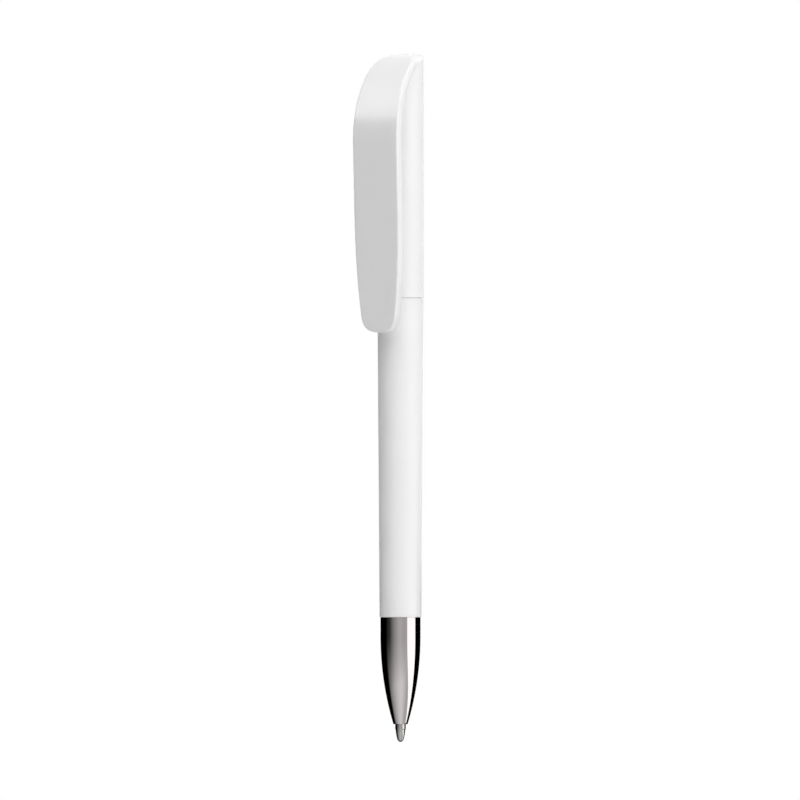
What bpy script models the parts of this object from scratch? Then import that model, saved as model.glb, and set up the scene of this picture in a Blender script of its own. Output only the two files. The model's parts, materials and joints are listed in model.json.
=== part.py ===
"""A white twist-action ballpoint pen, point out, standing on its axis.

The pen's axis is Z and its point is down. The origin is on the axis, where the nose cone meets the lower
barrel. The clip is on the -Y side. Lengths are in metres.
"""

import math

import bmesh
import bpy
from mathutils import Matrix, Vector

MM = 0.001

# Outer lengths along the axis, from the point up
POINT_REACH = 3.62 * MM
NOSE_LENGTH = 21.8 * MM
NOSE_COLLAR = 3.9 * MM
LOWER_LENGTH = 64.84 * MM
SEAM_GAP = 0.3 * MM
UPPER_LENGTH = 49.45 * MM

# Outer radii
MOUTH_RADIUS = 1.45 * MM
NOSE_RADIUS = 4.08 * MM
LOWER_FOOT_RADIUS = 4.25 * MM
LOWER_HEAD_RADIUS = 4.7 * MM
UPPER_FOOT_RADIUS = 4.78 * MM
UPPER_HEAD_RADIUS = 4.7 * MM

# Clip: a plate of one thickness that curves over the pen's top and runs down as a blade
CLIP_LENGTH = 56.7 * MM
CLIP_WIDTH = 11.76 * MM
CLIP_THICKNESS = 1.75 * MM
CLIP_REACH = 8.24 * MM
CLIP_LEAN = math.radians(1.75)
CROWN_CENTRE = 2.27 * MM
CROWN_DROP = 17.46 * MM
CROWN_SHOULDER_DROP = 2.2 * MM
CROWN_SHOULDER_INSET = 0.88 * MM
WIDE_FROM = 18.0 * MM
WIDE_TO = 32.0 * MM
TOE_RISE = 4.6 * MM
TOE_INSET = 1.12 * MM
RIB_DROP = 13.0 * MM
RIB_WIDTH = 5.2 * MM
FLEX_DROP = 0.8 * MM
FLEX_GAP = 0.3 * MM
NUB_WIDTH = 5.0 * MM
NUB_TOE = 2.3 * MM
NUB_HEEL = 4.5 * MM
NUB_CLEARANCE = 0.2 * MM
PLUG_WALL = 1.0 * MM
PLUG_ROOM = 1.0 * MM
BEAD_HEIGHT = 0.2 * MM
BEAD_LENGTH = 0.8 * MM

# How far the clip's outline, seen from the front, is pulled along its direction at each of its points
TOP_PULL = 4.0 * MM
SHOULDER_PULL_OUT = 0.44 * MM
SHOULDER_PULL_DOWN = 1.21 * MM
WIDE_PULL_UP = 7.02 * MM
WIDE_PULL_DOWN = 12.06 * MM
TOE_PULL_IN = 0.28 * MM
TOE_PULL_DOWN = 2.9 * MM
FOOT_PULL = 3.18 * MM

# Nose cone inside
MOUTH_BORE_LENGTH = 5.0 * MM
SPIGOT_RADIUS = 2.9 * MM
SPIGOT_LENGTH = 8.0 * MM
THREAD_PITCH = 1.2 * MM
THREAD_TURNS = 3
THREAD_DEPTH = 0.3 * MM
THREAD_WIDTH = 0.5 * MM
EDGE_CHAMFER = 0.15 * MM

# Refill
TUBE_RADIUS = 1.5 * MM
TUBE_WALL = 0.5 * MM
POINT_RADIUS = 1.08 * MM
POINT_LENGTH = 9.6 * MM
POINT_CONE = 2.65 * MM
POINT_STEP = 0.08 * MM
POINT_CHANNEL = 0.3 * MM
SHANK_RADIUS = 0.75 * MM
SHANK_LENGTH = 4.0 * MM
BALL_RADIUS = 0.5 * MM
BALL_CLEARANCE = 0.03 * MM
LIP_HEIGHT = 0.3 * MM
LIP_WALL = 0.09 * MM
ADAPTER_RADIUS = 1.15 * MM
ADAPTER_FLANGE = 2.0 * MM
ADAPTER_SPIGOT = 4.0 * MM
INK_CHANNEL = 0.4 * MM
INK_LENGTH = 60.0 * MM
PLUG_FLANGE = 1.0 * MM
PLUG_SPIGOT = 4.0 * MM
VENT_RADIUS = 0.3 * MM

# Return spring, as long as it is with the point out
SPRING_LENGTH = 10.0 * MM
SPRING_RADIUS = 1.4 * MM
WIRE_RADIUS = 0.175 * MM
SPRING_ROOM = 0.175 * MM
ACTIVE_COILS = 6
END_COILS = 1
COIL_STEPS = 12

# Twist mechanism
TRAVEL = 5.0 * MM
TWIST = math.pi
PIN_RADIUS = 0.6 * MM
PIN_RISE = 9.0 * MM
PIN_WALL = 1.0 * MM
PLUNGER_WALL = 0.6 * MM
PLUNGER_HEAD = 2.0 * MM
SOCKET_DEPTH = 5.0 * MM
GUIDE_WALL = 0.65 * MM
GUIDE_STEP = 0.45 * MM
GUIDE_ENGAGEMENT = 14.8 * MM
GUIDE_SHOULDER = 9.2 * MM
CAM_WALL = 0.7 * MM
CAP_DEPTH = 2.5 * MM
CAP_FLANGE = 1.0 * MM
CAP_LAP = 0.35 * MM
CAP_VENT = 0.8 * MM
KEY_WIDTH = 1.0 * MM
KEY_HEIGHT = 0.3 * MM
KEY_LENGTH = 6.0 * MM
RING_RISE = 3.0 * MM

# Clearances: round a shaft or beside a key, and between faces that seat on each other
FIT = 0.05 * MM
FACE_GAP = 0.1 * MM

# Fineness of the round shapes
BARREL_STEPS = 40
INNER_STEPS = 32
FINE_STEPS = 24
THREAD_STEPS = 20
BALL_STEPS = 16
ARC_STEPS = 8
CROWN_STEPS = 12
OUTLINE_STEPS = 6
MERGE_DISTANCE = 0.001 * MM
SHARP_ANGLE = math.radians(35)

# Heights that follow from the lengths
mouth = -NOSE_LENGTH
tip = mouth - POINT_REACH
lower_top = LOWER_LENGTH
upper_foot = lower_top + SEAM_GAP
seam = (lower_top + upper_foot) / 2
top = upper_foot + UPPER_LENGTH
spring_seat = mouth + MOUTH_BORE_LENGTH
adapter_shoulder = spring_seat + SPRING_LENGTH + 2 * FACE_GAP
guide_seat = lower_top - GUIDE_ENGAGEMENT
guide_shoulder = lower_top + GUIDE_SHOULDER
pin_height = guide_shoulder + PIN_RISE
socket_floor = pin_height - PIN_RADIUS - PIN_WALL
refill_top = socket_floor - FACE_GAP
plunger_top = pin_height + PLUNGER_HEAD
guide_top = plunger_top + TRAVEL + FACE_GAP + CAP_DEPTH
cap_top = guide_top + FACE_GAP + CAP_FLANGE
plug_foot = cap_top + PLUG_ROOM
clip_foot = top - CLIP_LENGTH
rib_foot = top - RIB_DROP
flex_height = rib_foot - FLEX_DROP

# Radii that follow, from the refill outwards
tube_bore = TUBE_RADIUS - TUBE_WALL
spring_bore = SPRING_RADIUS + WIRE_RADIUS + SPRING_ROOM
plunger_radius = TUBE_RADIUS + FIT + PLUNGER_WALL
guide_bore = plunger_radius + FIT
guide_radius = guide_bore + GUIDE_WALL
guide_root_radius = guide_radius + GUIDE_STEP
cam_bore = guide_radius + FIT
cam_radius = cam_bore + CAM_WALL
cap_radius = cam_bore + CAP_LAP
upper_bore = cam_radius + FIT
lower_bore = SPIGOT_RADIUS + FIT
pin_slot = PIN_RADIUS + FIT

# The crown is a quarter ellipse, seen from the side
crown_reach = CLIP_REACH + CROWN_CENTRE
crown_height = top - CROWN_DROP


def new_collection(name):
    collection = bpy.data.collections.new(name)
    bpy.context.scene.collection.children.link(collection)
    return collection


def group(name, parent=None, place=(0, 0, 0)):
    """An empty at a joint, which the pieces that move there hang on."""
    empty = bpy.data.objects.new(name, None)
    empty.empty_display_size = NOSE_RADIUS
    parts.objects.link(empty)
    empty.parent = parent
    empty.location = Vector(place)
    if parent:
        empty.location -= parent.matrix_world.translation
    bpy.context.view_layer.update()
    return empty


def new_object(name, data, collection):
    thing = bpy.data.objects.new(name, data)
    collection.objects.link(thing)
    if collection is cutters:
        thing.hide_render = True
        thing.display_type = "WIRE"
    return thing


def as_mesh(thing, collection):
    """The same object as a welded mesh, shaded smooth between its sharp edges."""
    graph = bpy.context.evaluated_depsgraph_get()
    mesh = bpy.data.meshes.new_from_object(thing.evaluated_get(graph))
    mesh.transform(thing.matrix_world)
    welded = bmesh.new()
    welded.from_mesh(mesh)
    bmesh.ops.remove_doubles(welded, verts=welded.verts, dist=MERGE_DISTANCE)
    bmesh.ops.recalc_face_normals(welded, faces=welded.faces)
    welded.to_mesh(mesh)
    welded.free()
    mesh.shade_smooth()
    mesh.set_sharp_from_angle(angle=SHARP_ANGLE)
    name = thing.name
    bpy.data.objects.remove(thing)
    mesh.name = name
    return new_object(name, mesh, collection)


def turned(name, profile, collection, steps):
    """A turned solid. The profile holds (radius, height), outer side first, from the top down."""
    ends_on_axis = profile[0][0] == 0
    mesh = bpy.data.meshes.new(name)
    edges = [(i, i + 1) for i in range(len(profile) - 1)]
    if not ends_on_axis:
        edges.append((len(profile) - 1, 0))
    mesh.from_pydata([(radius, 0, height) for radius, height in profile], edges, [])
    thing = new_object(name, mesh, collection)
    screw = thing.modifiers.new("turn", "SCREW")
    screw.steps = steps
    screw.render_steps = steps
    screw.use_merge_vertices = True
    screw.merge_threshold = MERGE_DISTANCE
    return as_mesh(thing, collection)


def tube_profile(radius, bore, low, high):
    return [(radius, high), (radius, low), (bore, low), (bore, high)]


def rod_profile(radius, low, high):
    return [(0, high), (radius, high), (radius, low), (0, low)]


def arc(centre, radius, start, end, steps):
    """Points (radius, height) along an arc in the profile's plane, angles from the outward direction."""
    angles = [start + (end - start) * i / steps for i in range(steps + 1)]
    return [(centre[0] + radius * math.cos(a), centre[1] + radius * math.sin(a)) for a in angles]


def block(name, low, high):
    """A box cutter between two corners."""
    mesh = bpy.data.meshes.new(name)
    cube = bmesh.new()
    size = Vector(high) - Vector(low)
    middle = (Vector(high) + Vector(low)) / 2
    fitted = Matrix.Translation(middle) @ Matrix.Diagonal(size).to_4x4()
    bmesh.ops.create_cube(cube, size=1, matrix=fitted)
    cube.to_mesh(mesh)
    cube.free()
    return new_object(name, mesh, cutters)


def flat_outline(name, spline_type, count):
    """A closed flat curve with so many points, and its spline."""
    curve = bpy.data.curves.new(name, "CURVE")
    curve.dimensions = "2D"
    curve.fill_mode = "BOTH"
    curve.resolution_u = OUTLINE_STEPS
    spline = curve.splines.new(spline_type)
    points = spline.bezier_points if spline_type == "BEZIER" else spline.points
    points.add(count - 1)
    spline.use_cyclic_u = True
    return curve, points


def side_slab(name, outline, half_width):
    """A slab across the pen whose outline is given as (y, z) seen from the side."""
    curve, points = flat_outline(name, "POLY", len(outline))
    for point, (y, z) in zip(points, outline):
        point.co = (y, z, 0, 1)
    curve.extrude = half_width
    slab = new_object(name, curve, cutters)
    slab.rotation_euler = (math.pi / 2, 0, math.pi / 2)
    bpy.context.view_layer.update()
    return as_mesh(slab, cutters)


def helix_bar(name, radius, foot, start, sweep, rise, half_depth, half_width, steps):
    """A square bar along a helix, as a thread or as the cutter of a helical slot."""
    outline, corners = flat_outline(name + "_section", "POLY", 4)
    outline.fill_mode = "NONE"
    signs = ((1, 1), (-1, 1), (-1, -1), (1, -1))
    for corner, (across, up) in zip(corners, signs):
        corner.co = (across * half_depth, up * half_width, 0, 1)
    section = new_object(name + "_section", outline, cutters)
    curve = bpy.data.curves.new(name, "CURVE")
    curve.dimensions = "3D"
    curve.twist_mode = "Z_UP"
    curve.bevel_mode = "OBJECT"
    curve.bevel_object = section
    curve.use_fill_caps = True
    spline = curve.splines.new("POLY")
    spline.points.add(steps)
    for i, point in enumerate(spline.points):
        angle = start + sweep * i / steps
        place = (radius * math.cos(angle), radius * math.sin(angle), foot + rise * i / steps)
        point.co = (*place, 1)
    bar = as_mesh(new_object(name, curve, cutters), cutters)
    bpy.data.objects.remove(section)
    return bar


def boolean(piece, tool, operation):
    modifier = piece.modifiers.new(tool.name, "BOOLEAN")
    modifier.operation = operation
    modifier.object = tool


def cut(piece, *tools):
    for tool in tools:
        boolean(piece, tool, "DIFFERENCE")


def join(piece, *tools):
    for tool in tools:
        boolean(piece, tool, "UNION")


def keep(piece, *tools):
    for tool in tools:
        boolean(piece, tool, "INTERSECT")


def finish(name, colour, roughness, metallic=0.0):
    material = bpy.data.materials.new(name)
    material.use_nodes = True
    shader = material.node_tree.nodes["Principled BSDF"]
    shader.inputs["Base Color"].default_value = (*colour, 1)
    shader.inputs["Roughness"].default_value = roughness
    shader.inputs["Metallic"].default_value = metallic
    return material


def place(piece, material, holder):
    """Gives a piece its own material and hangs it on its group where it stands."""
    own = material.copy()
    own.name = piece.name + "_" + material.name
    piece.data.materials.clear()
    piece.data.materials.append(own)
    piece.parent = holder
    piece.matrix_parent_inverse = holder.matrix_world.inverted()


def thread(name, clearance):
    """The nose cone's thread, or with a clearance the groove that it screws into."""
    length = THREAD_TURNS * THREAD_PITCH
    foot = (SPIGOT_LENGTH - length) / 2
    past_end = clearance / SPIGOT_RADIUS
    start = -past_end
    sweep = 2 * math.pi * THREAD_TURNS + 2 * past_end
    steps = THREAD_TURNS * THREAD_STEPS
    depth = THREAD_DEPTH + clearance
    width = THREAD_WIDTH / 2 + clearance
    return helix_bar(name, SPIGOT_RADIUS, foot, start, sweep, length, depth, width, steps)


def make_nose_cone():
    drop = NOSE_RADIUS - MOUTH_RADIUS
    run = NOSE_LENGTH - NOSE_COLLAR
    curve_radius = (drop**2 + run**2) / (2 * drop)
    curve_centre = (NOSE_RADIUS - curve_radius, -NOSE_COLLAR)
    flank = arc(curve_centre, curve_radius, 0, -math.asin(run / curve_radius), ARC_STEPS)
    mouth_bore = POINT_RADIUS + FIT
    profile = [
        (SPIGOT_RADIUS, SPIGOT_LENGTH),
        (SPIGOT_RADIUS, -FACE_GAP),
        (NOSE_RADIUS - EDGE_CHAMFER, -FACE_GAP),
        (NOSE_RADIUS, -FACE_GAP - EDGE_CHAMFER),
        *flank,
        (mouth_bore, mouth),
        (mouth_bore, spring_seat),
        (spring_bore, spring_seat),
        (spring_bore, SPIGOT_LENGTH),
    ]
    nose = turned("nose_cone", profile, parts, BARREL_STEPS)
    join(nose, thread("thread_ridge", 0))
    return nose


def make_lower_barrel():
    guide_socket = guide_root_radius + FIT
    profile = [
        (LOWER_HEAD_RADIUS - EDGE_CHAMFER, lower_top),
        (LOWER_HEAD_RADIUS, lower_top - EDGE_CHAMFER),
        (LOWER_FOOT_RADIUS, EDGE_CHAMFER),
        (LOWER_FOOT_RADIUS - EDGE_CHAMFER, 0),
        (lower_bore, 0),
        (lower_bore, guide_seat),
        (guide_socket, guide_seat),
        (guide_socket, lower_top),
    ]
    barrel = turned("lower_barrel", profile, parts, BARREL_STEPS)
    cut(barrel, thread("thread_groove", FIT))
    return barrel


def keys(name, radius, low, high, clearance):
    """Two keys opposite each other on a sleeve, or with a clearance their keyways."""
    half = KEY_WIDTH / 2 + clearance
    reach = radius + KEY_HEIGHT + clearance
    root = radius - KEY_HEIGHT
    return [
        block(name + "_front", (-half, -reach, low), (half, -root, high)),
        block(name + "_back", (-half, root, low), (half, reach, high)),
    ]


def make_guide_tube(lower_barrel):
    foot = guide_seat + FACE_GAP
    profile = [
        (guide_radius, guide_top),
        (guide_radius, guide_shoulder),
        (guide_root_radius, guide_shoulder),
        (guide_root_radius, foot),
        (guide_bore, foot),
        (guide_bore, guide_top),
    ]
    guide = turned("guide_tube", profile, parts, INNER_STEPS)
    groove_low = ring_height() - ring_section() - FIT
    groove_high = ring_height() + ring_section() + FIT
    groove_floor = guide_root_radius - ring_section() - FIT
    groove_rim = guide_root_radius + ring_section()
    groove = tube_profile(groove_rim, groove_floor, groove_low, groove_high)
    cut(guide, turned("ring_groove", groove, cutters, INNER_STEPS))
    slot_low = (-guide_root_radius, -pin_slot, pin_height - pin_slot)
    slot_high = (guide_root_radius, pin_slot, pin_height + TRAVEL + pin_slot)
    cut(guide, block("guide_slots", slot_low, slot_high))
    join(guide, *keys("guide_key", guide_root_radius, foot, foot + KEY_LENGTH, 0))
    cut(lower_barrel, *keys("guide_keyway", guide_root_radius, guide_seat, lower_top + SEAM_GAP, FIT))
    return guide


def ring_section():
    return upper_bore - FIT - guide_root_radius


def ring_height():
    return upper_foot + RING_RISE


def make_friction_ring():
    section = arc((guide_root_radius, ring_height()), ring_section(), 0, -2 * math.pi, ARC_STEPS)
    return turned("friction_ring", section[:-1], parts, FINE_STEPS)


def make_upper_barrel():
    bead_rim = upper_bore + BEAD_HEIGHT
    bead_low = plug_foot + BEAD_LENGTH - FIT
    bead_high = plug_foot + 2 * BEAD_LENGTH + FIT
    profile = [
        (UPPER_HEAD_RADIUS, top),
        (UPPER_FOOT_RADIUS, upper_foot + EDGE_CHAMFER),
        (UPPER_FOOT_RADIUS - EDGE_CHAMFER, upper_foot),
        (upper_bore, upper_foot),
        (upper_bore, bead_low),
        (bead_rim, bead_low),
        (bead_rim, bead_high),
        (upper_bore, bead_high),
        (upper_bore, top),
    ]
    barrel = turned("upper_barrel", profile, parts, BARREL_STEPS)
    cut(barrel, above_crown("barrel_top", CLIP_THICKNESS + FACE_GAP))
    return barrel


def make_cam_sleeve(upper_barrel):
    foot = guide_shoulder + FACE_GAP
    sleeve = turned("cam_sleeve", tube_profile(cam_radius, cam_bore, foot, guide_top), parts, INNER_STEPS)
    track = (cam_bore + cam_radius) / 2
    slope = TRAVEL / TWIST
    past_end = pin_slot / math.hypot(track, slope)
    turn = TWIST + 2 * past_end
    rise = slope * turn
    slot_foot = pin_height - slope * past_end
    for name, side in (("cam_slot_right", 0), ("cam_slot_left", math.pi)):
        start = side + past_end
        slot = helix_bar(name, track, slot_foot, start, -turn, rise, CAM_WALL, pin_slot, FINE_STEPS)
        cut(sleeve, slot)
    join(sleeve, *keys("cam_key", cam_radius, foot, foot + KEY_LENGTH, 0))
    cut(upper_barrel, *keys("cam_keyway", cam_radius, upper_foot - SEAM_GAP, foot + KEY_LENGTH + FIT, FIT))
    return sleeve


def make_retaining_cap():
    plug_radius = guide_bore - FIT
    flange_foot = guide_top + FACE_GAP
    profile = [
        (cap_radius, cap_top),
        (cap_radius, flange_foot),
        (plug_radius, flange_foot),
        (plug_radius, flange_foot - CAP_DEPTH),
        (CAP_VENT, flange_foot - CAP_DEPTH),
        (CAP_VENT, cap_top),
    ]
    return turned("retaining_cap", profile, parts, INNER_STEPS)


def make_plunger():
    socket = TUBE_RADIUS + FIT
    foot = socket_floor - SOCKET_DEPTH
    profile = [
        (0, plunger_top),
        (plunger_radius, plunger_top),
        (plunger_radius, foot),
        (socket, foot),
        (socket, socket_floor),
        (0, socket_floor),
    ]
    plunger = turned("plunger", profile, parts, INNER_STEPS)
    cut(plunger, cross_pin("pin_hole", PIN_RADIUS + FIT, plunger_radius + PIN_RADIUS, cutters))
    return plunger


def cross_pin(name, radius, half_length, collection):
    """A pin across the axis, at the height that it has with the point out."""
    pin = turned(name, rod_profile(radius, -half_length, half_length), collection, FINE_STEPS)
    pin.rotation_euler.y = math.pi / 2
    pin.location.z = pin_height
    return pin


def make_refill_point():
    ball = (0, tip + BALL_RADIUS)
    socket = BALL_RADIUS + BALL_CLEARANCE
    lip_angle = math.asin((LIP_HEIGHT - BALL_RADIUS) / socket)
    throat_angle = math.acos(POINT_CHANNEL / socket)
    cup = arc(ball, socket, lip_angle, throat_angle, ARC_STEPS)
    lip_radius = cup[0][0] + LIP_WALL
    shoulder = tip + POINT_LENGTH
    end = shoulder + SHANK_LENGTH
    profile = [
        (SHANK_RADIUS, end),
        (SHANK_RADIUS, shoulder),
        (POINT_RADIUS, shoulder),
        (POINT_RADIUS, tip + POINT_CONE),
        (POINT_RADIUS - POINT_STEP, tip + POINT_CONE - POINT_STEP),
        (lip_radius, tip + LIP_HEIGHT),
        *cup,
        (POINT_CHANNEL, end),
    ]
    return turned("refill_point", profile, parts, FINE_STEPS)


def make_writing_ball():
    mesh = bpy.data.meshes.new("writing_ball")
    sphere = bmesh.new()
    bmesh.ops.create_uvsphere(sphere, u_segments=BALL_STEPS, v_segments=BALL_STEPS // 2, radius=BALL_RADIUS)
    sphere.to_mesh(mesh)
    sphere.free()
    mesh.shade_smooth()
    ball = new_object("writing_ball", mesh, parts)
    ball.location.z = tip + BALL_RADIUS
    return ball


def make_tip_adapter():
    front = tip + POINT_LENGTH + FACE_GAP
    shank_bore = SHANK_RADIUS + FIT
    shank_floor = front + SHANK_LENGTH
    flange_top = adapter_shoulder + ADAPTER_FLANGE
    end = flange_top + ADAPTER_SPIGOT
    profile = [
        (tube_bore - FIT, end),
        (tube_bore - FIT, flange_top),
        (TUBE_RADIUS, flange_top),
        (TUBE_RADIUS, adapter_shoulder),
        (ADAPTER_RADIUS, adapter_shoulder),
        (ADAPTER_RADIUS, front),
        (shank_bore, front),
        (shank_bore, shank_floor),
        (INK_CHANNEL, shank_floor),
        (INK_CHANNEL, end),
    ]
    return turned("tip_adapter", profile, parts, FINE_STEPS)


def make_refill_tube():
    foot = adapter_shoulder + ADAPTER_FLANGE + FACE_GAP
    head = refill_top - PLUG_FLANGE - FACE_GAP
    return turned("refill_tube", tube_profile(TUBE_RADIUS, tube_bore, foot, head), parts, FINE_STEPS)


def make_ink_column():
    foot = adapter_shoulder + ADAPTER_FLANGE + ADAPTER_SPIGOT + FACE_GAP
    return turned("ink_column", rod_profile(tube_bore - FIT, foot, foot + INK_LENGTH), parts, FINE_STEPS)


def make_refill_plug():
    flange_foot = refill_top - PLUG_FLANGE
    foot = flange_foot - PLUG_SPIGOT
    profile = [
        (TUBE_RADIUS, refill_top),
        (TUBE_RADIUS, flange_foot),
        (tube_bore - FIT, flange_foot),
        (tube_bore - FIT, foot),
        (VENT_RADIUS, foot),
        (VENT_RADIUS, refill_top),
    ]
    return turned("refill_plug", profile, parts, FINE_STEPS)


def make_return_spring():
    """A coil with a close turn at each end, from the nose cone's shoulder up to the refill's."""
    close_pitch = 2 * WIRE_RADIUS + FIT
    run = SPRING_LENGTH - 2 * WIRE_RADIUS
    open_pitch = (run - 2 * END_COILS * close_pitch) / ACTIVE_COILS
    steps = (ACTIVE_COILS + 2 * END_COILS) * COIL_STEPS
    curve = bpy.data.curves.new("return_spring", "CURVE")
    curve.dimensions = "3D"
    curve.bevel_depth = WIRE_RADIUS
    curve.bevel_resolution = 1
    curve.use_fill_caps = True
    spline = curve.splines.new("POLY")
    spline.points.add(steps)
    height = WIRE_RADIUS
    for i, point in enumerate(spline.points):
        angle = 2 * math.pi * i / COIL_STEPS
        point.co = (SPRING_RADIUS * math.cos(angle), SPRING_RADIUS * math.sin(angle), height, 1)
        at_end = i < END_COILS * COIL_STEPS or i >= steps - END_COILS * COIL_STEPS
        height += (close_pitch if at_end else open_pitch) / COIL_STEPS
    spring = new_object("return_spring", curve, parts)
    spring.location.z = spring_seat + FACE_GAP
    return spring


def crown_curve(depth, start):
    """Points (y, z) along the crown at a depth below its outer face, up to its top."""
    reach = crown_reach - depth
    rise = CROWN_DROP - depth
    angles = [start + (math.pi / 2 - start) * i / CROWN_STEPS for i in range(CROWN_STEPS + 1)]
    return [(CROWN_CENTRE - reach * math.cos(a), crown_height + rise * math.sin(a)) for a in angles]


def lean_angle(depth):
    """Where on the crown's ellipse the blade's straight run is tangent to it."""
    return -math.atan(math.tan(CLIP_LEAN) * (CROWN_DROP - depth) / (crown_reach - depth))


def blade_face(depth, height):
    """The y of the blade's straight face at a height, at a depth below its outer face."""
    y, z = crown_curve(depth, lean_angle(depth))[0]
    return y + (z - height) * math.tan(CLIP_LEAN)


def above_crown(name, depth):
    """All that lies above the crown's face at a depth, as a cutter."""
    face = crown_curve(depth, 0)
    back = UPPER_FOOT_RADIUS * 2
    front = -CLIP_REACH * 2
    sky = top + CLIP_THICKNESS
    outline = [*face, (back, face[-1][1]), (back, sky), (front, sky), (front, face[0][1])]
    return side_slab(name, outline, CLIP_WIDTH)


def clip_outline():
    """The clip seen from the front, as a slab from front to back."""
    half = CLIP_WIDTH / 2
    shoulder = Vector((half - CROWN_SHOULDER_INSET, top - CROWN_SHOULDER_DROP))
    toe = Vector((half - TOE_INSET, clip_foot + TOE_RISE))
    top_pull = Vector((TOP_PULL, 0))
    shoulder_pull = Vector((SHOULDER_PULL_OUT, -SHOULDER_PULL_DOWN))
    wide_pull = Vector((0, -WIDE_PULL_UP))
    long_pull = Vector((0, -WIDE_PULL_DOWN))
    toe_pull = Vector((-TOE_PULL_IN, -TOE_PULL_DOWN))
    foot_pull = Vector((-FOOT_PULL, 0))
    right = [
        (Vector((0, top)), -top_pull, top_pull),
        (shoulder, -shoulder_pull, shoulder_pull),
        (Vector((half, top - WIDE_FROM)), -wide_pull, wide_pull),
        (Vector((half, top - WIDE_TO)), -long_pull, long_pull),
        (toe, -toe_pull, toe_pull),
        (Vector((0, clip_foot)), -foot_pull, foot_pull),
    ]
    mirror = Matrix.Diagonal((-1, 1))
    left = [(mirror @ at, mirror @ after, mirror @ before) for at, before, after in reversed(right[1:-1])]
    curve, points = flat_outline("clip_outline", "BEZIER", len(right) + len(left))
    for point, (at, before, after) in zip(points, right + left):
        point.co = (*at, 0)
        point.handle_left = (*(at + before), 0)
        point.handle_right = (*(at + after), 0)
    curve.extrude = 2 * CLIP_REACH
    slab = new_object("clip_outline", curve, cutters)
    slab.rotation_euler.x = math.pi / 2
    bpy.context.view_layer.update()
    return as_mesh(slab, cutters)


def clip_plan():
    """The clip seen from above: as round as the barrel behind the axis, and open in front of it."""
    low = crown_height - CLIP_LENGTH
    high = top + CLIP_THICKNESS
    plan = turned("clip_plan", rod_profile(UPPER_HEAD_RADIUS, low, high), cutters, BARREL_STEPS)
    join(plan, block("clip_front", (-CLIP_WIDTH, -2 * CLIP_REACH, low), (CLIP_WIDTH, 0, high)))
    return plan


def clip_plate(name, outline, plan):
    """The clip's plate, whole, before it is split at its root."""
    foot = clip_foot - CLIP_THICKNESS
    outer = crown_curve(0, lean_angle(0))
    inner = crown_curve(CLIP_THICKNESS, lean_angle(CLIP_THICKNESS))
    back = 2 * UPPER_HEAD_RADIUS
    face = [(blade_face(0, foot), foot), *outer, (back, top)]
    underside = [(back, top - CLIP_THICKNESS), *reversed(inner), (blade_face(CLIP_THICKNESS, foot), foot)]
    plate = side_slab(name, face + underside, CLIP_WIDTH)
    keep(plate, outline, plan)
    return plate


def to_parts(thing):
    """Moves a shape from the cutters to the parts."""
    cutters.objects.unlink(thing)
    parts.objects.link(thing)
    thing.hide_render = False
    thing.display_type = "TEXTURED"
    return thing


def make_clip_head(outline, plan):
    head = to_parts(clip_plate("clip_head", outline, plan))
    far = CLIP_LENGTH
    cut(head, block("below_root", (-far, -far, clip_foot - far), (far, far, flex_height)))
    plug_radius = upper_bore - FIT
    bead_low = plug_foot + BEAD_LENGTH
    profile = [
        (plug_radius, top),
        (plug_radius, bead_low + BEAD_LENGTH),
        (plug_radius + BEAD_HEIGHT, bead_low + BEAD_LENGTH / 2),
        (plug_radius, bead_low),
        (plug_radius, plug_foot),
        (plug_radius - PLUG_WALL, plug_foot),
        (plug_radius - PLUG_WALL, top),
    ]
    plug = turned("clip_plug", profile, cutters, BARREL_STEPS)
    in_plate = above_crown("in_plate", CLIP_THICKNESS / 2)
    cut(plug, in_plate)
    rib = block("clip_rib", (-RIB_WIDTH / 2, -CLIP_REACH, rib_foot), (RIB_WIDTH / 2, 0, top))
    barrel_room = [
        (0, top + FACE_GAP),
        (UPPER_HEAD_RADIUS + FACE_GAP, top + FACE_GAP),
        (UPPER_FOOT_RADIUS + FACE_GAP, upper_foot),
        (0, upper_foot),
    ]
    cut(rib, turned("barrel_room", barrel_room, cutters, BARREL_STEPS), in_plate)
    join(head, plug, rib)
    return head


def make_clip_blade(outline, plan):
    blade = to_parts(clip_plate("clip_blade", outline, plan))
    far = CLIP_LENGTH
    cut(blade, block("above_root", (-far, -far, flex_height - FLEX_GAP), (far, far, top + far)))
    middle = CLIP_THICKNESS / 2
    low = seam - NUB_TOE
    high = seam + NUB_HEEL
    apex = -UPPER_FOOT_RADIUS - NUB_CLEARANCE
    base = [(blade_face(middle, high), high), (blade_face(middle, low), low)]
    rim = [(blade_face(CLIP_THICKNESS, low), low), (apex, seam), (blade_face(CLIP_THICKNESS, high), high)]
    join(blade, side_slab("clip_nub", base + rim, NUB_WIDTH / 2))
    return blade


for old in list(bpy.data.objects):
    bpy.data.objects.remove(old)
parts = new_collection("ballpoint_pen")
cutters = new_collection("cutters")
cutters.hide_render = True

white_abs = finish("white_abs", (0.86, 0.86, 0.86), 0.2)
chrome = finish("chrome_plate", (0.62, 0.62, 0.63), 0.06, 1.0)
acetal = finish("acetal", (0.8, 0.79, 0.75), 0.4)
black_rubber = finish("nitrile_rubber", (0.02, 0.02, 0.02), 0.7)
steel = finish("spring_steel", (0.5, 0.5, 0.51), 0.25, 1.0)
nickel_silver = finish("nickel_silver", (0.6, 0.58, 0.54), 0.2, 1.0)
carbide = finish("tungsten_carbide", (0.35, 0.35, 0.36), 0.1, 1.0)
polypropylene = finish("polypropylene", (0.72, 0.74, 0.75), 0.35)
ink = finish("ballpoint_ink", (0.01, 0.015, 0.12), 0.3)

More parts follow.
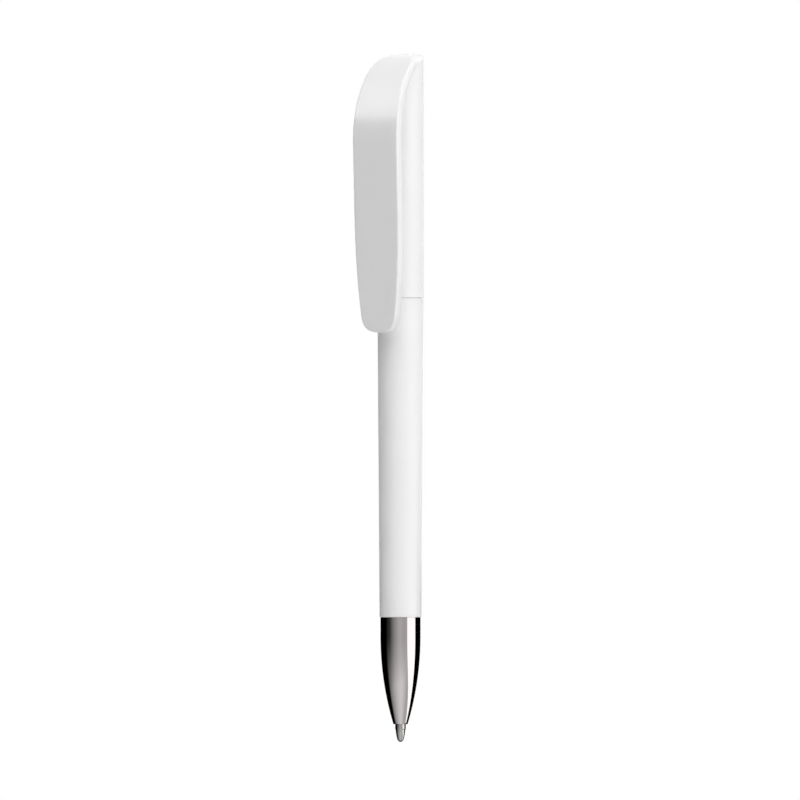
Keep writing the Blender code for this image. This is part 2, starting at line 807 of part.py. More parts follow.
hinge_face = crown_curve(0, math.asin((flex_height - crown_height) / CROWN_DROP))[0][0]
hinge = (0, hinge_face, flex_height - FLEX_GAP / 2)
pen = group("pen")
twist_half = group("twist_axis", pen)
clip_spring = group("clip_hinge", twist_half, hinge)
refill = group("refill_axis", pen)
ball_seat = group("ball_axis", refill, (0, 0, tip + BALL_RADIUS))

lower_barrel = make_lower_barrel()
upper_barrel = make_upper_barrel()
outline = clip_outline()
plan = clip_plan()

place(make_nose_cone(), chrome, pen)
place(lower_barrel, white_abs, pen)
place(make_guide_tube(lower_barrel), acetal, pen)
place(make_retaining_cap(), acetal, pen)
place(make_friction_ring(), black_rubber, pen)
place(make_return_spring(), steel, pen)
place(upper_barrel, white_abs, twist_half)
place(make_cam_sleeve(upper_barrel), acetal, twist_half)
place(make_clip_head(outline, plan), white_abs, twist_half)
place(make_clip_blade(outline, plan), white_abs, clip_spring)
place(make_plunger(), acetal, refill)
pin_reach = cam_radius - FACE_GAP
place(cross_pin("follower_pin", PIN_RADIUS, pin_reach, parts), steel, refill)
place(make_refill_tube(), polypropylene, refill)
place(make_refill_plug(), polypropylene, refill)
place(make_ink_column(), ink, refill)
place(make_tip_adapter(), polypropylene, refill)
place(make_refill_point(), nickel_silver, refill)
place(make_writing_ball(), carbide, ball_seat)
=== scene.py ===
# %% [markdown]
# # A white twist pen with a chrome nose
# This lesson dresses a slim ballpoint pen: two white moulded barrel halves, a broad clip that curves over
# the pen's top, and a chrome nose with the refill's point. The mechanics come as a frame of plain solids.
# Loading them first means that every piece below is drawn straight in its place, in metres, with the
# pen's axis on Z, its point down and its clip towards -Y.

# %% Load the frame
import json
import math

import bpy
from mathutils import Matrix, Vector
from mathutils.geometry import interpolate_bezier


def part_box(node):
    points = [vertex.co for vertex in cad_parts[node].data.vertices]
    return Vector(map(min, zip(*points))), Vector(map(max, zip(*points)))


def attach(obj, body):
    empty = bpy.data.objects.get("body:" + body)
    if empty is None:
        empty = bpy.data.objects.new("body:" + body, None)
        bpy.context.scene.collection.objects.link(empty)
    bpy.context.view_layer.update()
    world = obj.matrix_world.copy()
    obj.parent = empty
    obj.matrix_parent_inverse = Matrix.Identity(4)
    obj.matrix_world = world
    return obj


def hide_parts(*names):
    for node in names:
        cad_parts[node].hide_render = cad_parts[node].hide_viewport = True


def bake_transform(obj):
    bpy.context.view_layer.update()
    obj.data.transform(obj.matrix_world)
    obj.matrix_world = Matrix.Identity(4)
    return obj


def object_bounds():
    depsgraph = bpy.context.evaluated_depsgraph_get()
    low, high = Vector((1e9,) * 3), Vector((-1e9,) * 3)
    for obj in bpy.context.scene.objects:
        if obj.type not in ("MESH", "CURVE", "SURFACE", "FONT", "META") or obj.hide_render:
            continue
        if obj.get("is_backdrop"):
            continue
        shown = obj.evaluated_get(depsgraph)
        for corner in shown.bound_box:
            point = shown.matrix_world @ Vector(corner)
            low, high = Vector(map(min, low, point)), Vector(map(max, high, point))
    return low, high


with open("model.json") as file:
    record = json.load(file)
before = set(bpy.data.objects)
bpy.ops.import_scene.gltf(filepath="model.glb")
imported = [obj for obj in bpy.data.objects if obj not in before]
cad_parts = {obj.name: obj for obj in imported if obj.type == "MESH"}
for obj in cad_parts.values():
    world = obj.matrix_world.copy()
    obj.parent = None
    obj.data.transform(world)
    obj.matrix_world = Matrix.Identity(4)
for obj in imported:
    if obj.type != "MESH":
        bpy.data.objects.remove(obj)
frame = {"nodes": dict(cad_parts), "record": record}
cad_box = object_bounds()
MM = 0.001

# %% [markdown]
# Heights are read from the frame's own boxes, so that the dressed pen can't drift away from the solids.
# The seam is the thin gap between the two barrel halves, where the pen turns when it is twisted.

# %% Heights along the pen
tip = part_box("writing_ball")[0].z
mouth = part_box("nose_cone")[0].z
nose_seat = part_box("lower_barrel")[0].z
lower_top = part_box("lower_barrel")[1].z
upper_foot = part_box("upper_barrel")[0].z
clip_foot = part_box("clip_blade")[0].z
pen_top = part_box("clip_head")[1].z
seam = (lower_top + upper_foot) / 2
print(f"pen: {(pen_top - tip) / MM:.1f} mm long, seam {(seam - tip) / MM:.1f} mm above the tip")

# %% [markdown]
# Most of a pen is turned work: barrels, nose and point are all round on one axis. By hand that is a line
# of vertices drawn on one side of the axis and spun round it. A cylinder with extruded rings would do
# too, but a drawn line shows the whole section at once, bore included. `draw_line` starts from a tiny
# plane merged to a single vertex and extrudes that vertex from point to point. Everything is deselected
# first, because an operator acts on all that is selected.

# %% Draw a line and spin it
ROUND_STEPS = 128
WELD = 0.001 * MM


def draw_line(name, points):
    """A new object that is one line of edges through the points."""
    bpy.ops.object.select_all(action="DESELECT")
    bpy.ops.mesh.primitive_plane_add(size=MM, location=points[0])
    piece = bpy.context.object
    piece.name = name
    piece.data.name = name
    bpy.ops.object.transform_apply(location=True, rotation=False, scale=False)
    bpy.ops.object.mode_set(mode="EDIT")
    bpy.ops.mesh.merge(type="CENTER")
    for here, there in zip(points, points[1:]):
        step = Vector(there) - Vector(here)
        bpy.ops.mesh.extrude_region_move(TRANSFORM_OT_translate={"value": step})
    bpy.ops.mesh.select_all(action="SELECT")
    bpy.ops.mesh.remove_doubles(threshold=WELD)
    bpy.ops.object.mode_set(mode="OBJECT")
    return piece


def turn(name, profile):
    """A turned piece, from a line of (radius, height) points that is closed or ends on the axis."""
    piece = draw_line(name, [(radius, 0, height) for radius, height in profile])
    bpy.ops.object.mode_set(mode="EDIT")
    bpy.ops.mesh.select_all(action="SELECT")
    bpy.ops.mesh.spin(steps=ROUND_STEPS, angle=2 * math.pi, center=(0, 0, 0), axis=(0, 0, 1))
    bpy.ops.mesh.select_all(action="SELECT")
    bpy.ops.mesh.remove_doubles(threshold=WELD)
    bpy.ops.mesh.normals_make_consistent(inside=False)
    bpy.ops.object.mode_set(mode="OBJECT")
    return piece


def arc(centre, radius, start, end, steps):
    """Points along an arc in a flat view, with its angles in degrees from straight right."""
    angles = [math.radians(start + (end - start) * i / steps) for i in range(steps + 1)]
    return [(centre[0] + radius * math.cos(a), centre[1] + radius * math.sin(a)) for a in angles]


print("turning uses", ROUND_STEPS, "steps round the axis")

# %% [markdown]
# No moulded or turned edge is perfectly sharp. A narrow bevel on every hard edge catches a line of light,
# which is what tells the eye that two shells meet at the seam. The Bevel modifier finds the edges by
# their angle, so one helper rounds any piece. Smooth shading then only breaks where an edge is still
# steep. It has a catch: next to a bevel it bends the light on a long straight wall too. Weighted normals
# let the large faces win, so walls stay straight and only the bevels look round.

# %% Round the edges of a piece
EDGE_ANGLE = math.radians(35)
EDGE_SEGMENTS = 3


def apply_modifier(piece, kind, **settings):
    """Adds a modifier, sets it and applies it."""
    bpy.ops.object.select_all(action="DESELECT")
    bpy.context.view_layer.objects.active = piece
    piece.select_set(True)
    modifier = piece.modifiers.new(kind.lower(), kind)
    for key, value in settings.items():
        setattr(modifier, key, value)
    bpy.ops.object.modifier_apply(modifier=modifier.name)


def smooth(piece):
    """Smooth shading that keeps steep edges and straight walls."""
    bpy.ops.object.shade_smooth_by_angle(angle=EDGE_ANGLE)
    apply_modifier(piece, "WEIGHTED_NORMAL", keep_sharp=True)
    print(piece.name, "has", len(piece.data.polygons), "faces")


def round_edges(piece, width):
    """A bevel on every steep edge, and smooth shading."""
    apply_modifier(
        piece, "BEVEL", width=width, segments=EDGE_SEGMENTS, limit_method="ANGLE", angle_limit=EDGE_ANGLE,
    )
    smooth(piece)


print("edges steeper than", round(math.degrees(EDGE_ANGLE)), "degrees are rounded")

# %% [markdown]
# ## Lower barrel
# The half that the fingers hold is a white ABS tube that widens a little from the nose up to the seam.
# Its section is a long thin loop: outside wall, top rim, and a stepped bore that takes the twist
# mechanism above and the refill below. On a good pen the two rims at the seam almost touch, and a lip of
# the upper half reaches into a recess of the lower one, so that no light falls through. The recess is
# part of the same loop, which saves cutting it out later.

# %% Lower barrel
LOWER_FOOT_RADIUS = 4.25 * MM
LOWER_HEAD_RADIUS = 4.7 * MM
REFILL_BORE = 2.95 * MM
MECHANISM_BORE = 3.35 * MM
MECHANISM_DEPTH = 14.8 * MM
RIM_ROUNDING = 0.06 * MM
SEAM_SHOWN = 0.06 * MM
SEAM_LIP_RADIUS = 4.2 * MM
SEAM_LIP_LENGTH = 0.4 * MM
SEAM_LIP_GAP = 0.05 * MM

mechanism_seat = lower_top - MECHANISM_DEPTH
lower_rim = seam - SEAM_SHOWN / 2
recess = lower_rim - SEAM_LIP_LENGTH - SEAM_LIP_GAP
lower_barrel = turn("lower_barrel_shell", [
    (LOWER_HEAD_RADIUS, lower_rim),
    (LOWER_FOOT_RADIUS, nose_seat),
    (REFILL_BORE, nose_seat),
    (REFILL_BORE, mechanism_seat),
    (MECHANISM_BORE, mechanism_seat),
    (MECHANISM_BORE, recess),
    (SEAM_LIP_RADIUS + SEAM_LIP_GAP, recess),
    (SEAM_LIP_RADIUS + SEAM_LIP_GAP, lower_rim),
    (LOWER_HEAD_RADIUS, lower_rim),
])
round_edges(lower_barrel, RIM_ROUNDING)

# %% [markdown]
# ## Nose cone
# The chrome nose has a short straight collar and then curves in to the mouth. A cone primitive would have
# straight flanks, so the curve is drawn as one large arc. The arc starts straight down, and collar and
# cone run into each other without an edge. A chromed surface shows every flat spot in its reflections, so
# the arc gets many points.

# %% Nose cone
NOSE_RADIUS = 4.08 * MM
NOSE_COLLAR = 3.9 * MM
MOUTH_RADIUS = 1.45 * MM
MOUTH_BORE = 1.13 * MM
MOUTH_BORE_LENGTH = 5.0 * MM
SPRING_BORE = 1.75 * MM
SPIGOT_RADIUS = 2.9 * MM
SPIGOT_LENGTH = 8.0 * MM
NOSE_ROUNDING = 0.06 * MM
NOSE_ARC_STEPS = 40

collar_foot = nose_seat - NOSE_COLLAR
narrowing = NOSE_RADIUS - MOUTH_RADIUS
cone_length = collar_foot - mouth
cone_arc_radius = (narrowing**2 + cone_length**2) / (2 * narrowing)
cone_sweep = math.degrees(math.asin(cone_length / cone_arc_radius))
cone_centre = (NOSE_RADIUS - cone_arc_radius, collar_foot)
nose_cone = turn("nose_cone_chrome", [
    (SPIGOT_RADIUS, nose_seat + SPIGOT_LENGTH),
    (SPIGOT_RADIUS, nose_seat),
    (NOSE_RADIUS, nose_seat),
    *arc(cone_centre, cone_arc_radius, 0, -cone_sweep, NOSE_ARC_STEPS),
    (MOUTH_BORE, mouth),
    (MOUTH_BORE, mouth + MOUTH_BORE_LENGTH),
    (SPRING_BORE, mouth + MOUTH_BORE_LENGTH),
    (SPRING_BORE, nose_seat + SPIGOT_LENGTH),
    (SPIGOT_RADIUS, nose_seat + SPIGOT_LENGTH),
])
round_edges(nose_cone, NOSE_ROUNDING)

# %% [markdown]
# ## Refill point and writing ball
# The point is turned from nickel silver: a shank that plugs into the refill, a straight body, a small
# step, and a slightly full cone that is rolled over at its end to hold the ball. A straight cone would
# look thin, so it is a curve whose two handles are pushed out a little. The socket is an arc round the
# ball's centre with a hair of clearance for the ink.

# %% Refill point
POINT_RADIUS = 1.08 * MM
POINT_LENGTH = 9.6 * MM
POINT_CONE = 2.65 * MM
POINT_STEP = 0.08 * MM
POINT_FULLNESS = 0.08 * MM
POINT_ROUNDING = 0.03 * MM
SHANK_RADIUS = 0.75 * MM
SHANK_LENGTH = 4.0 * MM
INK_CHANNEL = 0.3 * MM
BALL_RADIUS = 0.5 * MM
BALL_CLEARANCE = 0.03 * MM
SOCKET_LIP_HEIGHT = 0.3 * MM
SOCKET_LIP_WALL = 0.09 * MM
CONE_STEPS = 16
BALL_ARC_STEPS = 24

ball_centre = (0, tip + BALL_RADIUS)
socket_radius = BALL_RADIUS + BALL_CLEARANCE
lip_angle = math.degrees(math.asin((SOCKET_LIP_HEIGHT - BALL_RADIUS) / socket_radius))
throat_angle = math.degrees(math.acos(INK_CHANNEL / socket_radius))
socket = arc(ball_centre, socket_radius, lip_angle, throat_angle, BALL_ARC_STEPS)
cone_top = Vector((POINT_RADIUS - POINT_STEP, tip + POINT_CONE - POINT_STEP))
cone_foot = Vector((socket[0][0] + SOCKET_LIP_WALL, tip + SOCKET_LIP_HEIGHT))
third = (cone_foot - cone_top) / 3
push = Vector((POINT_FULLNESS, 0))
handles = (cone_top + third + push, cone_foot - third + push)
cone = interpolate_bezier(cone_top, *handles, cone_foot, CONE_STEPS)
shoulder = tip + POINT_LENGTH
refill_point = turn("refill_point_turned", [
    (SHANK_RADIUS, shoulder + SHANK_LENGTH),
    (SHANK_RADIUS, shoulder),
    (POINT_RADIUS, shoulder),
    (POINT_RADIUS, tip + POINT_CONE),
    *cone,
    *socket,
    (INK_CHANNEL, shoulder + SHANK_LENGTH),
    (SHANK_RADIUS, shoulder + SHANK_LENGTH),
])
round_edges(refill_point, POINT_ROUNDING)

# %% [markdown]
# The ball is half a circle spun round the axis. A sphere primitive would do too, but this way the ball
# has as many sides as the socket that it rolls in.

# %% Writing ball
writing_ball = turn("writing_ball_polished", arc(ball_centre, BALL_RADIUS, 90, -90, BALL_ARC_STEPS))
bpy.ops.object.shade_smooth()
print(writing_ball.name, "has", len(writing_ball.data.polygons), "faces")

# %% [markdown]
# ## The crown's curve
# Seen from the side, the pen's top is cut off along a quarter of an ellipse, and the clip is a plate that
# follows this curve and then runs straight down, leaning in a little. Several pieces need the curve, at
# different depths below the clip's outer face, so it gets one function.

# %% The crown's curve
CLIP_REACH = -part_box("clip_blade")[0].y
CLIP_THICKNESS = 1.75 * MM
CLIP_LEAN = math.radians(1.75)
CROWN_CENTRE = 2.27 * MM
CROWN_DROP = 17.46 * MM
CROWN_STEPS = 48

crown_foot = pen_top - CROWN_DROP


def crown(depth):
    """Points (y, z) up the crown, from the top of the straight blade, at a depth below the clip's face."""
    reach = CLIP_REACH + CROWN_CENTRE - depth
    rise = CROWN_DROP - depth
    start = -math.atan(math.tan(CLIP_LEAN) * rise / reach)
    angles = [start + (math.pi / 2 - start) * i / CROWN_STEPS for i in range(CROWN_STEPS + 1)]
    return [(CROWN_CENTRE - reach * math.cos(a), crown_foot + rise * math.sin(a)) for a in angles]


def blade_y(depth, height):
    """How far forward the straight blade is at a height, at a depth below its outer face."""
    y, z = crown(depth)[0]
    return y + (z - height) * math.tan(CLIP_LEAN)


print(f"crown: {CROWN_DROP / MM} mm from the pen's top to where the blade is upright")

# %% [markdown]
# A flat closed line becomes a block when its face is filled and extruded. Blocks like this are the clip's
# three views: from the side, from the front and from above. A shape that fits all three views is what
# they have in common, which a Boolean finds. Blocks also cut: one that holds all that lies above the
# crown trims whatever ends there.

# %% Blocks from a closed line, and Booleans
def extrude_block(name, outline, along):
    """A block from a closed outline of points, filled and extruded by a vector."""
    block = draw_line(name, [*outline, outline[0]])
    bpy.ops.object.mode_set(mode="EDIT")
    bpy.ops.mesh.select_all(action="SELECT")
    bpy.ops.mesh.edge_face_add()
    bpy.ops.mesh.extrude_region_move(TRANSFORM_OT_translate={"value": along})
    bpy.ops.mesh.select_all(action="SELECT")
    bpy.ops.mesh.normals_make_consistent(inside=False)
    bpy.ops.object.mode_set(mode="OBJECT")
    return block


def side_block(name, outline, half_width):
    """A block across the pen from its side view, as (y, z) points."""
    return extrude_block(name, [(-half_width, y, z) for y, z in outline], (2 * half_width, 0, 0))


def combine(piece, tool, operation):
    """Cuts a piece with a tool, or keeps what they have in common. The tool is then gone."""
    apply_modifier(piece, "BOOLEAN", operation=operation, object=tool)
    bpy.data.objects.remove(tool)


def above_crown(name, depth):
    """All that lies above the crown at a depth."""
    face = crown(depth)
    back = 2 * CLIP_REACH
    sky = pen_top + CLIP_THICKNESS
    outline = [*face, (back, face[-1][1]), (back, sky), (-back, sky), (-back, face[0][1])]
    return side_block(name, outline, back)


print("cuts along the crown follow", len(crown(CLIP_THICKNESS)), "points of its curve")

# %% [markdown]
# ## Upper barrel
# The half that is twisted is a second white tube, with the lip that hides the seam's gap at its foot. It
# is turned first and its rims are rounded, and then the crown is cut off it, just below the clip's
# underside. In this order the bevel only has round rims to work on, and not the slanted cut, which the
# clip covers anyway.

# %% Upper barrel
UPPER_FOOT_RADIUS = 4.78 * MM
UPPER_HEAD_RADIUS = 4.7 * MM
UPPER_BORE = 3.65 * MM
SEAT_GAP = 0.1 * MM

upper_rim = seam + SEAM_SHOWN / 2
upper_barrel = turn("upper_barrel_shell", [
    (UPPER_HEAD_RADIUS, pen_top),
    (UPPER_FOOT_RADIUS, upper_rim),
    (SEAM_LIP_RADIUS, upper_rim),
    (SEAM_LIP_RADIUS, lower_rim - SEAM_LIP_LENGTH),
    (UPPER_BORE, lower_rim - SEAM_LIP_LENGTH),
    (UPPER_BORE, pen_top),
    (UPPER_HEAD_RADIUS, pen_top),
])
round_edges(upper_barrel, RIM_ROUNDING)
combine(upper_barrel, above_crown("crown_cutter", CLIP_THICKNESS + SEAT_GAP), "DIFFERENCE")
smooth(upper_barrel)

# %% [markdown]
# ## Clip
# The clip is one moulding: a plate that lies over the crown and runs down past the seam, a stop rib under
# its root, and a small nub at the seam that grips the pocket's edge. Its front outline is a smooth line
# through a few points. Many short edges placed by hand would wobble, so it is drawn as curves with
# handles on the right side and mirrored to the left.

# %% Clip outline from the front
CLIP_WIDTH = 11.75 * MM
SHOULDER_DROP = 2.2 * MM
SHOULDER_INSET = 0.88 * MM
WIDE_FROM = 18.0 * MM
WIDE_TO = 32.0 * MM
TOE_RISE = 4.6 * MM
TOE_INSET = 1.12 * MM
OUTLINE_STEPS = 14

half_clip = CLIP_WIDTH / 2
# each point of the right half with how far the curve is pulled along its direction, before and after it
clip_points = [
    (Vector((0, pen_top)), Vector((4.0, 0)) * MM),
    (Vector((half_clip - SHOULDER_INSET, pen_top - SHOULDER_DROP)), Vector((0.44, -1.21)) * MM),
    (Vector((half_clip, pen_top - WIDE_FROM)), Vector((0, -7.02)) * MM),
    (Vector((half_clip, pen_top - WIDE_TO)), Vector((0, -12.06)) * MM),
    (Vector((half_clip - TOE_INSET, clip_foot + TOE_RISE)), Vector((-0.28, -2.9)) * MM),
    (Vector((0, clip_foot)), Vector((-3.9, 0)) * MM),
]
right_side = []
for (start, start_pull), (end, end_pull) in zip(clip_points, clip_points[1:]):
    curve = interpolate_bezier(start, start + start_pull, end - end_pull, end, OUTLINE_STEPS)
    right_side += [(point.x, point.y) for point in curve[:-1]]
right_side.append((0, clip_foot))
left_side = [(-x, z) for x, z in reversed(right_side[1:-1])]
print("clip outline:", len(right_side + left_side), "points")

# %% [markdown]
# Seen from above, the clip is as round as the barrel behind the axis. In front of the axis it flares out
# to its full width on a short easy curve, a quarter of an ellipse on each side. The rest of this view
# reaches far past the clip, because there the other two views set its size.

# %% Clip outline from above
FLARE = 2.5 * MM
FLARE_STEPS = 8
PLAN_STEPS = 48

flare_angles = [math.pi / 2 * i / FLARE_STEPS for i in range(FLARE_STEPS, 0, -1)]
flare_width = half_clip - UPPER_HEAD_RADIUS
right_flare = [(half_clip - flare_width * math.cos(a), -FLARE * math.sin(a)) for a in flare_angles]
left_flare = [(-x, y) for x, y in reversed(right_flare)]
round_back = arc((0, 0), UPPER_HEAD_RADIUS, 0, 180, PLAN_STEPS)
far = 2 * CLIP_REACH
plan = [(-far, -far), (far, -far), (far, -FLARE), *right_flare, *round_back, *left_flare, (-far, -FLARE)]
print("clip from above:", len(plan), "points")

# %% [markdown]
# From the side, the plate lies between the crown's curve and the same curve one thickness deeper. A flat
# plate bent over the crown would do too, but its outline from the front would no longer be the drawn one.
# So the plate is what this view has in common with the other two.

# %% Clip plate
plan_low = clip_foot - CLIP_THICKNESS
plan_points = [(x, y, plan_low) for x, y in plan]
plan_view = extrude_block("clip_plan", plan_points, (0, 0, pen_top + far - plan_low))
front_points = [(x, -far, z) for x, z in right_side + left_side]
front_view = extrude_block("clip_front", front_points, (0, 2 * far, 0))


def plate_face(depth):
    """The plate from the side at a depth below its face: up the blade, over the crown and far back."""
    return [(blade_y(depth, plan_low), plan_low), *crown(depth), (far, pen_top - depth)]


clip = side_block("clip_moulding", plate_face(0) + plate_face(CLIP_THICKNESS)[::-1], far)
combine(clip, front_view, "INTERSECT")
combine(clip, plan_view, "INTERSECT")
print(clip.name, "plate has", len(clip.data.polygons), "faces")

# %% [markdown]
# The stop rib is a block under the clip's root that reaches back to the barrel: a pocket's edge stops
# against its flat underside. It is a box but for its ends, so a cube starts it. Its back is cut to the
# barrel's round, and its top ends inside the plate, where the two will later melt together.

# %% Stop rib
RIB_DROP = 13.0 * MM
RIB_WIDTH = 5.2 * MM

mid_plate = CLIP_THICKNESS / 2
bpy.ops.object.select_all(action="DESELECT")
bpy.ops.mesh.primitive_cube_add(
    size=1,
    location=(0, -CLIP_REACH / 2, pen_top - RIB_DROP / 2),
    scale=(RIB_WIDTH, CLIP_REACH, RIB_DROP),
)
stop_rib = bpy.context.object
stop_rib.name = "stop_rib"
bpy.ops.object.transform_apply(location=True, rotation=False, scale=True)
barrel_room = turn("barrel_room", [
    (0, pen_top + SEAT_GAP),
    (UPPER_HEAD_RADIUS + SEAT_GAP, pen_top + SEAT_GAP),
    (UPPER_FOOT_RADIUS + SEAT_GAP, upper_foot),
    (0, upper_foot),
])
combine(stop_rib, barrel_room, "DIFFERENCE")
combine(stop_rib, above_crown("rib_top", mid_plate), "DIFFERENCE")

# %% [markdown]
# A boss as round as the barrel fills the crown's underside, so that clip and barrel run into each other
# at the pen's back. A round plug holds the clip in the barrel's open top. Both are turned, and then the
# crown's curve cuts them off inside the plate.

# %% Boss and plug
BOSS_OVERLAP = 0.3 * MM
BOSS_DEPTH = 0.6 * MM
PLUG_RADIUS = 3.6 * MM
PLUG_WALL = 1.0 * MM
PLUG_ROOM = 1.0 * MM

boss = turn("crown_boss", [
    (0, pen_top),
    (UPPER_HEAD_RADIUS, pen_top),
    (UPPER_HEAD_RADIUS, crown_foot),
    (0, crown_foot),
])
combine(boss, above_crown("boss_foot", CLIP_THICKNESS + BOSS_DEPTH), "INTERSECT")
combine(boss, above_crown("boss_top", CLIP_THICKNESS - BOSS_OVERLAP), "DIFFERENCE")

plug_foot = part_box("retaining_cap")[1].z + PLUG_ROOM
plug = turn("clip_plug", [
    (PLUG_RADIUS, pen_top),
    (PLUG_RADIUS, plug_foot),
    (PLUG_RADIUS - PLUG_WALL, plug_foot),
    (PLUG_RADIUS - PLUG_WALL, pen_top),
    (PLUG_RADIUS, pen_top),
])
combine(plug, above_crown("plug_top", mid_plate), "DIFFERENCE")
print(plug.name, "reaches", round((pen_top - plug_foot) / MM, 1), "mm down from the pen's top")

# %% [markdown]
# The grip nub is a low wedge under the clip at the seam, which pinches the pocket's cloth against the
# barrel. Its side view says everything about it but its width, so it is a block like the views above.

# %% Grip nub
NUB_WIDTH = 5.0 * MM
NUB_TOE = 2.3 * MM
NUB_HEEL = 4.5 * MM
NUB_CLEARANCE = 0.2 * MM

nub_low = seam - NUB_TOE
nub_high = seam + NUB_HEEL
grip_nub = side_block("grip_nub", [
    (blade_y(mid_plate, nub_high), nub_high),
    (blade_y(mid_plate, nub_low), nub_low),
    (blade_y(CLIP_THICKNESS, nub_low), nub_low),
    (-UPPER_FOOT_RADIUS - NUB_CLEARANCE, seam),
    (blade_y(CLIP_THICKNESS, nub_high), nub_high),
], NUB_WIDTH / 2)
print(grip_nub.name, "is", round((nub_high - nub_low) / MM, 1), "mm long")

# %% [markdown]
# The mould rounds every edge of the clip and fillets every corner, all by about the same amount.
# Bevelling the crown's long curved edge by hand is fussy. A voxel remesh is easier: it melts plate, boss,
# plug, rib and nub into one skin of small even faces, and smoothing then wears its edges and fills its
# corners like a mould does. A remesh leaves little steps along slanted edges, so the first one is so fine
# that the smoothing washes them out, and a second one then thins the faces.

# %% One moulded skin
FINE_VOXEL = 0.08 * MM
FINE_PASSES = 20
LAST_VOXEL = 0.17 * MM
LAST_PASSES = 2

bpy.ops.object.select_all(action="DESELECT")
for piece in (boss, plug, stop_rib, grip_nub, clip):
    piece.select_set(True)
bpy.context.view_layer.objects.active = clip
bpy.ops.object.join()
for voxel, passes in ((FINE_VOXEL, FINE_PASSES), (LAST_VOXEL, LAST_PASSES)):
    apply_modifier(clip, "REMESH", mode="VOXEL", voxel_size=voxel)
    bpy.ops.object.mode_set(mode="EDIT")
    bpy.ops.mesh.select_all(action="SELECT")
    bpy.ops.mesh.vertices_smooth(factor=0.5, repeat=passes)
    bpy.ops.mesh.normals_make_consistent(inside=False)
    bpy.ops.object.mode_set(mode="OBJECT")
    print(clip.name, "has", len(clip.data.polygons), "faces of", voxel / MM, "mm")

# %% [markdown]
# The boss still fills the place of the barrel's wall. Cutting a copy of the wall out of it, a hair
# thicker than the barrel, leaves a joint without a gap that shows.

# %% Joint of clip and barrel
TRIM = 0.01 * MM

barrel_wall = turn("barrel_wall", [
    (UPPER_HEAD_RADIUS + TRIM, pen_top),
    (UPPER_FOOT_RADIUS + TRIM, upper_rim),
    (UPPER_BORE, upper_rim),
    (UPPER_BORE, pen_top),
    (UPPER_HEAD_RADIUS + TRIM, pen_top),
])
combine(barrel_wall, above_crown("wall_top", CLIP_THICKNESS + SEAT_GAP), "DIFFERENCE")
combine(clip, barrel_wall, "DIFFERENCE")
bpy.ops.object.shade_smooth_by_angle(angle=EDGE_ANGLE)
print(clip.name, "skin has", len(clip.data.polygons), "faces")

# %% [markdown]
# ## What moves with what
# Each new piece but the clip rides on a body of the frame, and each stands for the plain solid in its
# place. The real clip is one springy moulding, so its skin isn't split at the hinge that stands for its
# flex.

for piece, body, node in (
    (nose_cone, "grip_half", "nose_cone"),
    (lower_barrel, "grip_half", "lower_barrel"),
    (upper_barrel, "twist_half", "upper_barrel"),
    (refill_point, "refill", "refill_point"),
    (writing_ball, "ball", "writing_ball"),
):
    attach(piece, body)
    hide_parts(node)
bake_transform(clip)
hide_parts("clip_head", "clip_blade")
print("replaced nodes:", sorted(n for n, o in frame["nodes"].items() if o.hide_render))

# %% [markdown]
# ## Materials
# Colours are written as the sRGB codes that a colour picker shows, and one function makes them linear,
# which is what shaders reckon in. One more function adds a node with its settings and its inputs. Each
# material starts empty and grows from its patterns to its shader. Patterns sit on Object coordinates,
# which are metres here, so a pattern's scale is one over its real size.

# %% Colours and nodes
def colour(code):
    """A linear colour from an sRGB hex code."""
    channels = [int(code[i:i + 2], 16) / 255 for i in (0, 2, 4)]
    return [c / 12.92 if c <= 0.04045 else ((c + 0.055) / 1.055) ** 2.4 for c in channels] + [1]


def add(tree, kind, inputs, **settings):
    """Adds a node. An input, by name or in order, is a value, a socket, or a node for its first output."""
    node = tree.nodes.new("ShaderNode" + kind)
    for key, value in settings.items():
        setattr(node, key, value)
    if not isinstance(inputs, dict):
        inputs = dict(enumerate(inputs))
    for socket, value in inputs.items():
        if isinstance(value, bpy.types.Node):
            value = value.outputs[0]
        if isinstance(value, bpy.types.NodeSocket):
            tree.links.new(value, node.inputs[socket])
        else:
            node.inputs[socket].default_value = value
    return node


def new_material(name):
    """An empty material, its nodes and its Object coordinates."""
    material = bpy.data.materials.new(name)
    material.use_nodes = True
    tree = material.node_tree
    tree.nodes.clear()
    return material, tree, add(tree, "TexCoord", {}).outputs["Object"]


print("white is", [round(c, 2) for c in colour("FFFFFF")])

# %% [markdown]
# ### White ABS
# The barrels and the clip are injection moulded in white ABS against a polished mould. The eye sees an
# even white with a soft gloss. Up close the plastic's flow leaves faint cloudy patches some millimetres
# across, the surface ripples a little where it shrank, and handling leaves hairlines along the pen. One
# flat colour would look like paper, so three noises of these sizes shift the tone, the roughness and the
# surface.

# %% White ABS
# nearly all values of a noise lie in this span
NOISE_SPAN = (0.3, 0.7)
FLOW_PATCH = 8 * MM
GLOSS_ROUGHNESS = (0.15, 0.21)
HAIRLINE = 0.25 * MM
HAIRLINE_STRETCH = 10
HAIRLINE_PEAKS = (0.6, 0.75)
HAIRLINE_ROUGHNESS = (0.0, 0.1)
RIPPLE = 1.4 * MM
RIPPLE_DEPTH = 0.004 * MM


